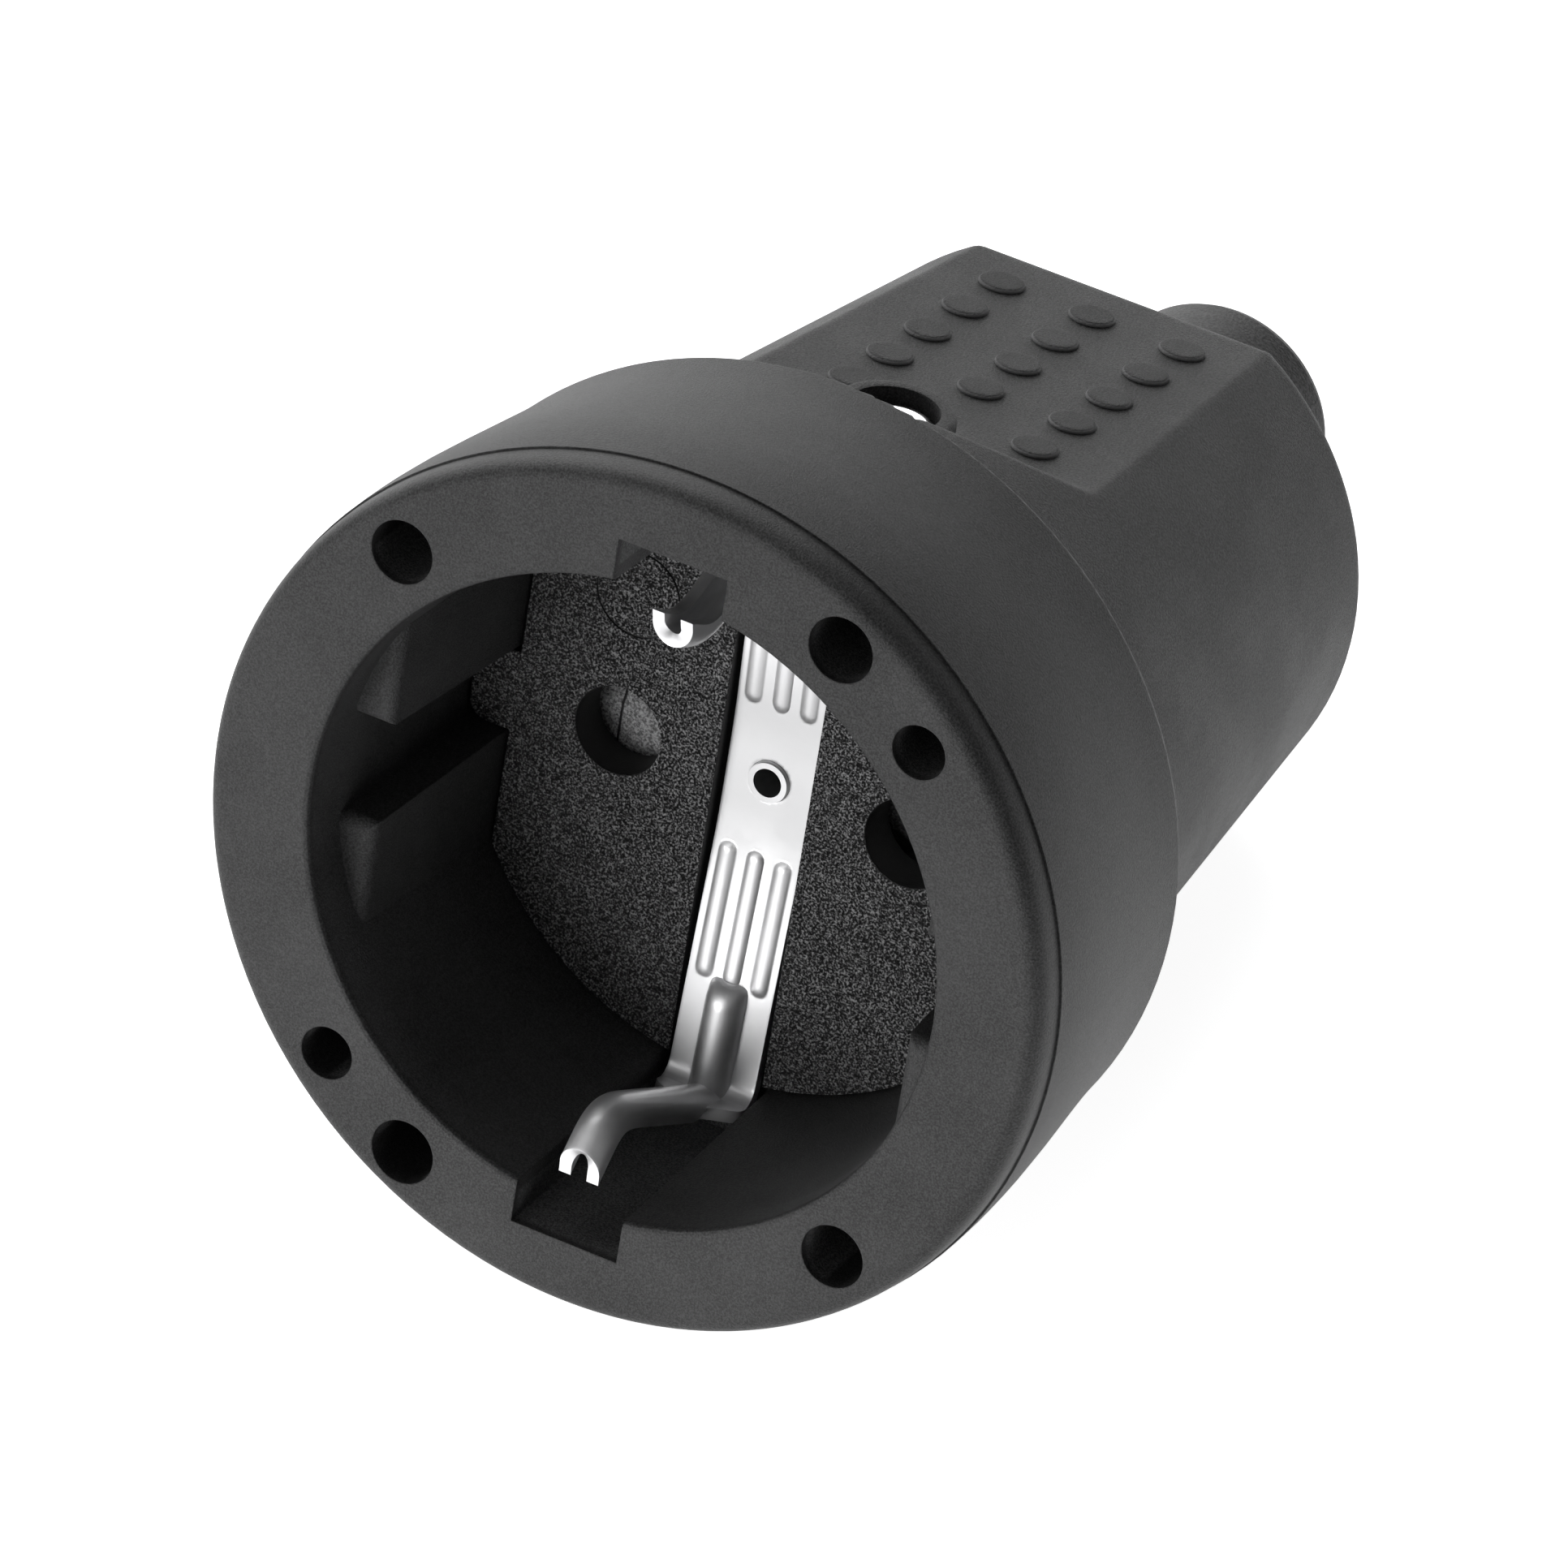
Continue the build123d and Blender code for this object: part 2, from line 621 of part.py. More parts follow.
def grip_body():
    """Tapering round handle with its sloped flats, before it is hollowed."""
    start, end = HANDLE_START, HANDLE_END
    edge = HANDLE_EDGE
    outer = turned(
        (
            (0, start),
            (handle_r(start), start),
            (handle_r(end), end),
            (0, end),
        )
    )
    for shape in both_ends(flat_half_space()):
        outer = outer - shape
    feet = outer.edges().filter_by(
        lambda e: e.geom_type == GeomType.LINE and abs(e.center().Y - FLAT_START) < 0.1
    )
    outer = fillet(feet, RAMP_FOOT_R)
    rims = outer.edges().filter_by(
        lambda e: e.geom_type in (GeomType.ELLIPSE, GeomType.HYPERBOLA) and e.length > 15
    )
    outer = fillet(rims, FLAT_EDGE)
    rear = outer.edges().filter_by(lambda e: e.center().Y > end - 0.5)
    return fillet(rear, edge)


def handle():
    body = grip_body()
    boss = rod_z(BOSS_R, 14, BOSS_TOP, 0, SCREW_Y)
    boss = fillet(boss.edges().group_by(Axis.Z)[-1], BOSS_EDGE)
    for shape in both_ends(boss):
        body = body + shape
    for shape in dots():
        body = fuse([body] + both_ends(shape))
    hollow = turned(
        (
            (0, HANDLE_START - 1),
            (REBATE_INNER_R + FIT, HANDLE_START - 1),
            (REBATE_INNER_R + FIT, SEAT_Y + SEAT_WALL + FIT),
            (SKIRT_R + FIT, SEAT_Y + SEAT_WALL + FIT),
            (SKIRT_R + FIT, SKIRT_END + 1),
            (handle_r(SKIRT_END) - HANDLE_WALL - 2.0, SKIRT_END + 1),
            (handle_r(SKIRT_END) - HANDLE_WALL - 2.0, SKIRT_END + 9),
            (handle_r(HANDLE_END) - HANDLE_WALL - 0.2, HANDLE_END - REAR_WALL),
            (0, HANDLE_END - REAR_WALL),
        )
    )
    for shape in both_ends(flat_half_space(drop=HANDLE_WALL, ramp=False)):
        hollow = hollow - shape
    body = body - hollow
    body = body - rod_y(GLAND_R0 + FIT, HANDLE_END - 4, HANDLE_END + 1)
    reach = CLAMP_X + CLAMP_EAR
    saddle = box(-reach, reach, CLAMP_Y0, CLAMP_Y1, -15, -3.2)
    saddle = saddle - rod_y(CABLE_BORE + CABLE_ROOM, CLAMP_Y0 - 1, CLAMP_Y1 + 1)
    towers = [rod_z(CLAMP_EAR - 0.1, -15, CLAMP_Z - CLAMP_GAP, x, (CLAMP_Y0 + CLAMP_Y1) / 2)
              for x in (CLAMP_X, -CLAMP_X)]
    inner = fuse([saddle] + towers) & hollow_fill()
    body = body + inner
    for x in (CLAMP_X, -CLAMP_X):
        body = body - rod_z(CLAMP_SCREW_R + CLEAR, -6, CLAMP_Z + 1, x, (CLAMP_Y0 + CLAMP_Y1) / 2)
    for shape in both_ends(rod_z(SCREW_WELL_R, HEAD_TOP - HEAD_H, 30, 0, SCREW_Y)):
        body = body - shape
    for shape in both_ends(rod_z(SCREW_R + 0.2, 10, 20, 0, SCREW_Y)):
        body = body - shape
    return body


def hollow_fill():
    """Slightly oversize core that joins inner ribs to the handle's wall."""
    core = turned(((0, 40), (handle_r(40) - 1, 40), (handle_r(58) - 1, 58), (0, 58)))
    for shape in both_ends(flat_half_space(drop=1.0, ramp=False)):
        core = core - shape
    return core


def housing_screws():
    shank = rod_z(SCREW_R, SCREW_TIP, HEAD_TOP - HEAD_H, 0, SCREW_Y)
    head = rod_z(HEAD_R, HEAD_TOP - HEAD_H, HEAD_TOP, 0, SCREW_Y)
    head = fillet(head.edges().group_by(Axis.Z)[-1], 0.5)
    cross = box(-1.4, 1.4, SCREW_Y - 0.3, SCREW_Y + 0.3, HEAD_TOP - 1.2, HEAD_TOP + 1)
    cross = cross + box(-0.3, 0.3, SCREW_Y - 1.4, SCREW_Y + 1.4, HEAD_TOP - 1.2, HEAD_TOP + 1)
    return Compound(both_ends(shank + head - cross))


def housing_nuts():
    nut = box(-NUT_HALF, NUT_HALF, SCREW_Y - NUT_HALF, SCREW_Y + NUT_HALF, NUT_Z0, NUT_Z1)
    nut = nut - rod_z(SCREW_R + CLEAR, NUT_Z0 - 1, NUT_Z1 + 1, 0, SCREW_Y)
    return Compound(both_ends(nut))


def clamp_bar():
    reach = CLAMP_X + CLAMP_EAR
    low = CLAMP_Z - CLAMP_GAP
    bar = box(-reach, reach, CLAMP_Y0, CLAMP_Y1, low, low + CLAMP_T)
    bar = fillet(bar.edges().filter_by(Axis.Z), 2.0)
    bar = bar - rod_y(CABLE_BORE + CABLE_ROOM, CLAMP_Y0 - 1, CLAMP_Y1 + 1)
    for x in (CLAMP_X, -CLAMP_X):
        bar = bar - rod_z(CLAMP_SCREW_R + 0.3, 0, 20, x, (CLAMP_Y0 + CLAMP_Y1) / 2)
    return bar


def clamp_screws():
    mid = (CLAMP_Y0 + CLAMP_Y1) / 2
    seat = CLAMP_Z - CLAMP_GAP + CLAMP_T
    screws = []
    for x in (CLAMP_X, -CLAMP_X):
        screw = rod_z(CLAMP_SCREW_R, -5.5, seat, x, mid)
        screw = screw + rod_z(CLAMP_HEAD_R, seat, seat + CLAMP_HEAD_H, x, mid)
        slot = box(x - 3, x + 3, mid - 0.35, mid + 0.35, seat + 0.9, seat + 3)
        screws.append(screw - slot)
    return Compound(screws)


def cable_sleeve():
    """Rubber sleeve that guides the cable out, held by a flange behind the rear wall."""
    inner = HANDLE_END - REAR_WALL
    body = turned(
        (
            (CABLE_BORE + BORE_FLARE, inner - 1.8),
            (GLAND_FLANGE_R, inner - 1.8),
            (GLAND_FLANGE_R, inner),
            (GLAND_R0, inner),
            (GLAND_R0, HANDLE_END),
            (GLAND_R1, GLAND_END - 0.8),
            (GLAND_R1 - 0.25, GLAND_END - 0.2),
            (GLAND_R1 - 0.8, GLAND_END),
            (CABLE_BORE + 0.4, GLAND_END),
            (CABLE_BORE, GLAND_END - 0.4),
            (CABLE_BORE, HANDLE_END),
        )
    )
    return body


def all_parts():
    x = PIN_HALF_PITCH
    return {
        "front_shell": front_shell(),
        "carrier_front": carrier_front(),
        "carrier_rear": carrier_rear(),
        "rear_cover": rear_cover(),
        "cover_screws": cover_screws(),
        "shutter": shutter(),
        "shutter_spring": shutter_spring(),
        "line_contact_left": line_contact(-x),
        "line_contact_right": line_contact(x),
        "grip_ring_left": grip_ring(-x),
        "grip_ring_right": grip_ring(x),
        "line_terminal_left": terminal(-x, 0, 1),
        "line_terminal_right": terminal(x, 0, 1),
        "earth_terminal": terminal(0, EARTH_Z, -1),
        "terminal_screws": terminal_screws(),
        "earth_strap": earth_strap(),
        "earth_rivet": earth_rivet(),
        "earth_link": earth_link(),
        "handle": handle(),
        "housing_screws": housing_screws(),
        "housing_nuts": housing_nuts(),
        "clamp_bar": clamp_bar(),
        "clamp_screws": clamp_screws(),
        "cable_sleeve": cable_sleeve(),
    }


os.makedirs("parts", exist_ok=True)
lean_back = Rot(-rest_tilt(), 0, 0)
for name, shape in all_parts().items():
    export_step(lean_back * shape, f"parts/{name}.step")
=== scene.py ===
"""Looks of the in-line power socket: camera, light, finishes and fine pieces."""

import json
import math

import bpy
import numpy as np
from mathutils import Matrix, Vector


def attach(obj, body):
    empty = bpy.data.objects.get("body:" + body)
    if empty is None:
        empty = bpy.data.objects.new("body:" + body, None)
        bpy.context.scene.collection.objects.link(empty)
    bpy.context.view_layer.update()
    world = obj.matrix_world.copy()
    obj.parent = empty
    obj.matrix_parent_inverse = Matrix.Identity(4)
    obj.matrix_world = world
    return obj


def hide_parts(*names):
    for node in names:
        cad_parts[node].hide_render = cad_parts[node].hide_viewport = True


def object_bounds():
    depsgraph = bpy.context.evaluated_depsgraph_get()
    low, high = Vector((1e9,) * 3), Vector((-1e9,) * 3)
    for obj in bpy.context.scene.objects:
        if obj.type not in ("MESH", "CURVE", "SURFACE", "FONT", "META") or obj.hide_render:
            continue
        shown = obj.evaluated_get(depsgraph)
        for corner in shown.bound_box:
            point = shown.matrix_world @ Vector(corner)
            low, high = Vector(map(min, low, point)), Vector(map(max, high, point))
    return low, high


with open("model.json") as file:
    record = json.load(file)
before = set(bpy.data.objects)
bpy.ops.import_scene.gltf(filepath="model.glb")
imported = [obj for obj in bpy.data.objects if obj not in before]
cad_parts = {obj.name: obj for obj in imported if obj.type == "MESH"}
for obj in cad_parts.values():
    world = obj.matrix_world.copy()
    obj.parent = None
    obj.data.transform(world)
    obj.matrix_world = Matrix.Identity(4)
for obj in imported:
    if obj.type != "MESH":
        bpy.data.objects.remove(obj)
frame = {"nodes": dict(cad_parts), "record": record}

CAD_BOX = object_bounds()

# the socket's own axis leans back by this angle, because it lies on a table
FORWARD = frame["record"]["mounts"][0]["axis"]
LEAN = math.atan2(FORWARD[2], -FORWARD[1])

# places along the socket's axis, in metres behind the ring face
PARTING_LINE = 0.0023
INSERT_FACE = 0.0175
RAMP_END = 0.0324
# radii of the recess wall and of its round core behind the guide blocks
WALL_R, CORE_R = 0.02445, 0.0208
# height of the grip's flats: FLAT_Z0 at the ring face, falling by FLAT_SLOPE
FLAT_Z0, FLAT_SLOPE = 0.020336, 0.0831
DOT_RISE = 0.00028
PAD_LINE = 0.0109


def new_group(name, inputs, outputs):
    """Empty shader node group with its named inputs (with defaults) and outputs."""
    group = bpy.data.node_groups.new(name, "ShaderNodeTree")
    for label, kind, value in inputs:
        item = group.interface.new_socket(label, in_out="INPUT", socket_type=kind)
        if value is not None:
            item.default_value = value
    for label, kind in outputs:
        group.interface.new_socket(label, in_out="OUTPUT", socket_type=kind)
    return group, group.nodes.new("NodeGroupInput"), group.nodes.new("NodeGroupOutput")


class Net:
    """Short hand for adding nodes to a tree and linking them."""

    def __init__(self, tree):
        self.tree = tree

    def add(self, kind, **settings):
        node = self.tree.nodes.new(kind)
        for key, value in settings.items():
            setattr(node, key, value)
        return node

    def feed(self, socket, value):
        if isinstance(value, bpy.types.NodeSocket):
            self.tree.links.new(value, socket)
        else:
            socket.default_value = value

    def math(self, operation, *values, clamp=False):
        node = self.add("ShaderNodeMath", operation=operation, use_clamp=clamp)
        for socket, value in zip(node.inputs, values):
            self.feed(socket, value)
        return node.outputs[0]

    def ramp(self, value, low, high, to_low=0.0, to_high=1.0):
        node = self.add("ShaderNodeMapRange", interpolation_type="SMOOTHSTEP")
        for label, number in (
            ("Value", value), ("From Min", low), ("From Max", high),
            ("To Min", to_low), ("To Max", to_high),
        ):
            self.feed(node.inputs[label], number)
        return node.outputs[0]

    def noise(self, vector, scale, detail=2.0, rough=0.5):
        node = self.add("ShaderNodeTexNoise")
        self.feed(node.inputs["Vector"], vector)
        self.feed(node.inputs["Scale"], scale)
        node.inputs["Detail"].default_value = detail
        node.inputs["Roughness"].default_value = rough
        return node.outputs["Fac"]

    def mix(self, factor, a, b):
        node = self.add("ShaderNodeMix", data_type="RGBA")
        self.feed(node.inputs[0], factor)
        self.feed(node.inputs[6], a)
        self.feed(node.inputs[7], b)
        return node.outputs[2]

    def blend(self, factor, a, b):
        node = self.add("ShaderNodeMix", data_type="FLOAT")
        self.feed(node.inputs[0], factor)
        self.feed(node.inputs[2], a)
        self.feed(node.inputs[3], b)
        return node.outputs[0]

    def group(self, group, **values):
        node = self.add("ShaderNodeGroup")
        node.node_tree = group
        for label, value in values.items():
            self.feed(node.inputs[label.replace("_", " ")], value)
        return node.outputs


def grain_group():
    """Spark-eroded mould grain: rounded pits of one size on a finer roughness."""
    group, start, end = new_group(
        "mould_grain",
        [
            ("Vector", "NodeSocketVector", None),
            ("Size", "NodeSocketFloat", 0.0002),
            ("Fine", "NodeSocketFloat", 0.4),
        ],
        [("Height", "NodeSocketFloat"), ("Shade", "NodeSocketFloat")],
    )
    net = Net(group)
    scale = net.math("DIVIDE", 1.0, start.outputs["Size"])
    pits = net.noise(start.outputs["Vector"], scale, 1.0, 0.5)
    fine = net.noise(start.outputs["Vector"], net.math("MULTIPLY", scale, 2.7), 2.0, 0.6)
    height = net.blend(start.outputs["Fine"], pits, fine)
    net.feed(end.inputs["Height"], height)
    net.feed(end.inputs["Shade"], net.ramp(height, 0.35, 0.68))
    return group


def axis_group():
    """Place on the socket: distance along its leaning axis, radius from it, and the plain X."""
    group, start, end = new_group(
        "socket_place",
        [("Vector", "NodeSocketVector", None), ("Lean", "NodeSocketFloat", 0.25)],
        [
            ("Along", "NodeSocketFloat"),
            ("Radius", "NodeSocketFloat"),
            ("Across", "NodeSocketFloat"),
            ("Up", "NodeSocketFloat"),
        ],
    )
    net = Net(group)
    turn = net.add("ShaderNodeVectorRotate", rotation_type="X_AXIS")
    net.feed(turn.inputs["Vector"], start.outputs["Vector"])
    net.feed(turn.inputs["Angle"], start.outputs["Lean"])
    parts = net.add("ShaderNodeSeparateXYZ")
    net.feed(parts.inputs[0], turn.outputs[0])
    x, y, z = parts.outputs
    radius = net.math("SQRT", net.math("ADD", net.math("MULTIPLY", x, x), net.math("MULTIPLY", z, z)))
    for label, value in (("Along", y), ("Radius", radius), ("Across", x), ("Up", z)):
        net.feed(end.inputs[label], value)
    return group


def cloud_group():
    """Slow, faint unevenness of a moulded or plated surface, from 0 to 1."""
    group, start, end = new_group(
        "surface_cloud",
        [("Vector", "NodeSocketVector", None), ("Size", "NodeSocketFloat", 0.006)],
        [("Cloud", "NodeSocketFloat")],
    )
    net = Net(group)
    scale = net.math("DIVIDE", 1.0, start.outputs["Size"])
    slow = net.noise(start.outputs["Vector"], scale, 4.0, 0.6)
    net.feed(end.inputs["Cloud"], net.ramp(slow, 0.3, 0.7))
    return group


def edge_group():
    """Rounded look of a moulded edge: a normal that is averaged over a small radius."""
    group, start, end = new_group(
        "soft_edge",
        [("Radius", "NodeSocketFloat", 0.00012)],
        [("Normal", "NodeSocketVector")],
    )
    net = Net(group)
    node = net.add("ShaderNodeBevel", samples=4)
    net.feed(node.inputs["Radius"], start.outputs["Radius"])
    net.feed(end.inputs["Normal"], node.outputs["Normal"])
    return group


GRAIN = grain_group()
PLACE = axis_group()
CLOUD = cloud_group()
EDGE = edge_group()


def new_material(name):
    material = bpy.data.materials.new(name)
    material.use_nodes = True
    tree = material.node_tree
    net = Net(tree)
    shader = next(n for n in tree.nodes if n.type == "BSDF_PRINCIPLED")
    where = net.add("ShaderNodeTexCoord").outputs["Object"]
    return material, net, shader, where


def bump(net, shader, height, strength, depth, edge=0.0):
    """Height field to the shader's normal; depth and the rounding of edges are in metres."""
    node = net.add("ShaderNodeBump")
    node.inputs["Strength"].default_value = strength
    node.inputs["Distance"].default_value = depth
    net.feed(node.inputs["Height"], height)
    if edge:
        net.feed(node.inputs["Normal"], net.group(EDGE, Radius=edge)["Normal"])
    net.feed(shader.inputs["Normal"], node.outputs[0])


def faded(net, height, share):
    """Grain whose swing about its middle height is cut to a share that changes over the surface."""
    return net.math("MULTIPLY", net.math("SUBTRACT", height, 0.5), share)


def grey(level):
    return (level, level, level * 1.01, 1.0)


def grain_tone(net, grain, clouds, share):
    """Light and dark of a moulded surface: this share of the grain, the rest of the clouds."""
    return net.math(
        "ADD",
        net.math("MULTIPLY", grain["Shade"], share),
        net.math("MULTIPLY", clouds, 1.0 - share),
    )


def moulded(name, dark, light, rough, size, depth):
    """Moulded plastic with mould grain: the pits are darker and the crests lighter."""
    material, net, shader, where = new_material(name)
    shader.inputs["Specular IOR Level"].default_value = 0.4
    grain = net.group(GRAIN, Vector=where, Size=size, Fine=0.4)
    clouds = net.group(CLOUD, Vector=where, Size=0.006)["Cloud"]
    tone = grain_tone(net, grain, clouds, 0.8)
    net.feed(shader.inputs["Base Color"], net.mix(tone, grey(dark), grey(light)))
    net.feed(shader.inputs["Roughness"], net.ramp(clouds, 0, 1, rough - 0.04, rough + 0.04))
    bump(net, shader, grain["Height"], 1.0, depth, 0.00015)
    return material


def handle_plastic():
    """Grained grip: the raised dots on its two flats are darker, and their sides are painted paler,
    as painted light that lifts the shade falling on them.
    """
    material, net, shader, where = new_material("handle_plastic")
    place = net.group(PLACE, Vector=where, Lean=LEAN)
    grain = net.group(GRAIN, Vector=where, Size=0.00013, Fine=0.4)
    clouds = net.group(CLOUD, Vector=where, Size=0.006)["Cloud"]
    flat = net.math("SUBTRACT", FLAT_Z0, net.math("MULTIPLY", place["Along"], FLAT_SLOPE))
    over = net.math("SUBTRACT", net.math("ABSOLUTE", place["Up"]), flat)
    behind = net.ramp(place["Along"], RAMP_END - 0.0002, RAMP_END + 0.0002)
    dots = net.math("MULTIPLY", net.ramp(over, 0.00003, 0.0001), behind)
    tone = grain_tone(net, grain, clouds, 0.8)
    plain = net.mix(tone, grey(0.006), grey(0.064))
    raised = net.mix(tone, grey(0.003), grey(0.045))
    # painted light: the dots' sides are painted pale grey to lift the shade that falls on them
    dot_sides_painted_light = net.math("MULTIPLY", dots, net.ramp(over, DOT_RISE - 0.00001, DOT_RISE - 0.00008))
    rough = net.math("ADD", net.ramp(clouds, 0, 1, 0.48, 0.56), net.math("MULTIPLY", dots, 0.05))
    net.feed(shader.inputs["Base Color"], net.mix(dot_sides_painted_light, net.mix(dots, plain, raised), grey(0.16)))
    net.feed(shader.inputs["Roughness"], rough)
    shader.inputs["Specular IOR Level"].default_value = 0.32
    bump(net, shader, grain["Height"], 1.0, 0.00018, 0.0005)
    return material


def insert_plastic():
    """Pebbled front face of the insert, painted lighter overall as painted light for the dim recess,
    with light specks at the grain's crests that are painted glints; its holes, channel and fine
    groove are smooth and near black, the plastic's own black left without that painted light, so that
    it also stands as painted shade in these sunk places.
    """
    material, net, shader, where = new_material("insert_plastic")
    place = net.group(PLACE, Vector=where, Lean=LEAN)
    grain = net.group(GRAIN, Vector=where, Size=0.00013, Fine=0.3)
    sunk = net.ramp(place["Along"], INSERT_FACE + 0.00003, INSERT_FACE + 0.0001)
    # painted glints: the grain's crests are painted light, and the whole face is painted lighter for
    # the dim recess
    tone = net.math("POWER", grain["Shade"], 2.3)
    pebbled = net.mix(tone, grey(0.006), grey(0.5))
    # painted shade: the sunk holes, channel and groove stay near black
    net.feed(shader.inputs["Base Color"], net.mix(sunk, pebbled, grey(0.01)))
    net.feed(shader.inputs["Roughness"], net.blend(sunk, 0.38, 0.5))
    bump(net, shader, faded(net, grain["Height"], net.blend(sunk, 1.0, 0.05)), 1.0, 0.0006, 0.00015)
    return material


def shutter_plastic():
    """Grained grey pads, each with one fine moulded line beside its middle, painted near black as
    painted shade in its groove.
    """
    material, net, shader, where = new_material("shutter_plastic")
    place = net.group(PLACE, Vector=where, Lean=LEAN)
    grain = net.group(GRAIN, Vector=where, Size=0.00016, Fine=0.4)
    off = net.math("SUBTRACT", net.math("ABSOLUTE", place["Across"]), PAD_LINE)
    off = net.math("ABSOLUTE", off)
    line = net.ramp(off, 0.00003, 0.0001, 1.0, 0.0)
    pad = net.mix(grain["Shade"], grey(0.1), grey(0.55))
    # painted shade: the groove of the fine line is painted near black
    net.feed(shader.inputs["Base Color"], net.mix(line, pad, grey(0.02)))
    net.feed(shader.inputs["Roughness"], net.ramp(grain["Shade"], 0, 1, 0.5, 0.42))
    bump(net, shader, net.math("SUBTRACT", grain["Height"], line), 1.0, 0.0002, 0.00015)
    return material


def shell_plastic():
    """Satin ring in front of the parting line, fine grain behind it; inside the recess the dark
    surfaces are painted lighter than the outside, and lighter still beyond the core's radius, as
    painted light for the dim recess.
    """
    material, net, shader, where = new_material("shell_plastic")
    place = net.group(PLACE, Vector=where, Lean=LEAN)
    grain = net.group(GRAIN, Vector=where, Size=0.00012, Fine=0.4)
    clouds = net.group(CLOUD, Vector=where, Size=0.009)["Cloud"]
    inside = net.math(
        "MULTIPLY",
        net.ramp(place["Radius"], WALL_R + 0.00015, WALL_R - 0.00015),
        net.ramp(place["Along"], 0.0002, 0.0008),
    )
    core = net.ramp(place["Radius"], CORE_R - 0.0001, CORE_R + 0.0001)
    behind = net.ramp(place["Along"], PARTING_LINE - 0.0001, PARTING_LINE + 0.0001)
    tone = grain_tone(net, grain, clouds, 0.75)
    colour = net.mix(tone, grey(0.006), net.mix(behind, grey(0.056), grey(0.058)))
    # painted light: inside the recess the same moulding is painted lighter than outside, lighter
    # still beyond the core's radius
    recess_walls_painted_light = net.mix(tone, grey(0.014), net.mix(core, grey(0.08), grey(0.2)))
    net.feed(shader.inputs["Base Color"], net.mix(inside, colour, recess_walls_painted_light))
    net.feed(shader.inputs["Roughness"], net.blend(behind, 0.46, 0.48))
    shader.inputs["Specular IOR Level"].default_value = 0.28
    bump(net, shader, faded(net, grain["Height"], net.blend(behind, 0.6, 1.0)), 1.0, 0.0001, 0.00018)
    return material


def plated(name, level, rough, streak):
    """Bright plated sheet with a faint drawn streak; its colour is painted lighter towards its bent
    ends and darker at its middle, as painted light.
    """
    material, net, shader, where = new_material(name)
    place = net.group(PLACE, Vector=where, Lean=LEAN)
    # painted light: the plating's colour is scaled from 0.72 at the middle, where the rivet sits, to
    # 1.14 at the bent ends
    end = net.ramp(net.math("ABSOLUTE", place["Up"]), 0.003, 0.012, 0.72, 1.14)
    stretch = net.add("ShaderNodeMapping")
    net.feed(stretch.inputs["Vector"], where)
    stretch.inputs["Scale"].default_value = (1.0, 1.0, 0.06)
    lines = net.noise(stretch.outputs[0], 9000.0, 2.0, 0.6)
    clouds = net.group(CLOUD, Vector=where, Size=0.003)["Cloud"]
    plate = net.add("ShaderNodeVectorMath", operation="SCALE")
    net.feed(plate.inputs[0], net.mix(clouds, grey(level * 0.92), grey(level)))
    net.feed(plate.inputs["Scale"], end)
    net.feed(shader.inputs["Base Color"], plate.outputs[0])
    shader.inputs["Metallic"].default_value = 1.0
    net.feed(shader.inputs["Roughness"], net.ramp(clouds, 0, 1, rough - 0.03, rough + 0.05))
    shader.inputs["Coat Weight"].default_value = 0.6
    shader.inputs["Coat Roughness"].default_value = 0.16
    shader.inputs["Coat IOR"].default_value = 2.0
    bump(net, shader, lines, streak, 0.00002)
    return material


def metal(name, colour, rough):
    """Plain turned or stamped metal."""
    material, net, shader, where = new_material(name)
    clouds = net.group(CLOUD, Vector=where, Size=0.002)["Cloud"]
    dull = tuple(c * 0.8 for c in colour[:3]) + (1.0,)
    net.feed(shader.inputs["Base Color"], net.mix(clouds, dull, colour))
    shader.inputs["Metallic"].default_value = 1.0
    net.feed(shader.inputs["Roughness"], net.ramp(clouds, 0, 1, rough, rough + 0.12))
    bump(net, shader, clouds, 0.2, 0.00002)
    return material


FINISHES = {
    "shell_plastic": shell_plastic(),
    "handle_plastic": handle_plastic(),
    "insert_plastic": insert_plastic(),
    "inner_plastic": moulded("inner_plastic", 0.45, 0.55, 0.5, 0.0003, 0.00003),
    "shutter_plastic": shutter_plastic(),
    "sleeve_rubber": moulded("sleeve_rubber", 0.008, 0.06, 0.6, 0.0002, 0.00008),
    "plated_strap": plated("plated_strap", 0.78, 0.52, 0.15),
    "plated_rivet": plated("plated_rivet", 0.8, 0.34, 0.1),
    "bright_screw": metal("bright_screw", grey(0.9), 0.2),
    "steel": metal("steel", grey(0.55), 0.3),
    "spring_steel": metal("spring_steel", grey(0.4), 0.3),
    "brass": metal("brass", (0.78, 0.58, 0.28, 1.0), 0.28),
}
for entry in frame["record"]["subparts"]:
    for slot in frame["nodes"][entry["node"]].material_slots:
        slot.material = FINISHES[entry["material_slot"]]


# earth strap: its line at the rivet, half width, and where and how steeply its arms spring forward
STRAP_LINE = 0.0185
STRAP_HALF = 0.0028
LIFT_FROM, LIFT = 0.0035, math.tan(math.radians(4.5))
BEND = 0.0212
SHEET = 0.00076
RIVET_HOLE = 0.00132
# rib of the clips: its radius, where it starts, and the share of the columns that it takes
RIB, RIB_START, RIB_SHARE = 0.0009, 0.0134, 0.62
CLIP_LEG = 0.0005
# lowest point and tip of each clip: distance behind the ring face and height
UPPER_CLIP = ((0.0042, 0.0164), (0.0013, 0.0177))
LOWER_CLIP = ((0.0030, 0.0152), (0.0006, 0.0178))
# long beads: their places across, middle, half length without the round ends, and rise
BEAD_PLACES = (-0.0018, 0.0, 0.0018)
BEAD_MIDDLE, BEAD_HALF, BEAD_RISE = 0.00905, 0.00385, 0.0002


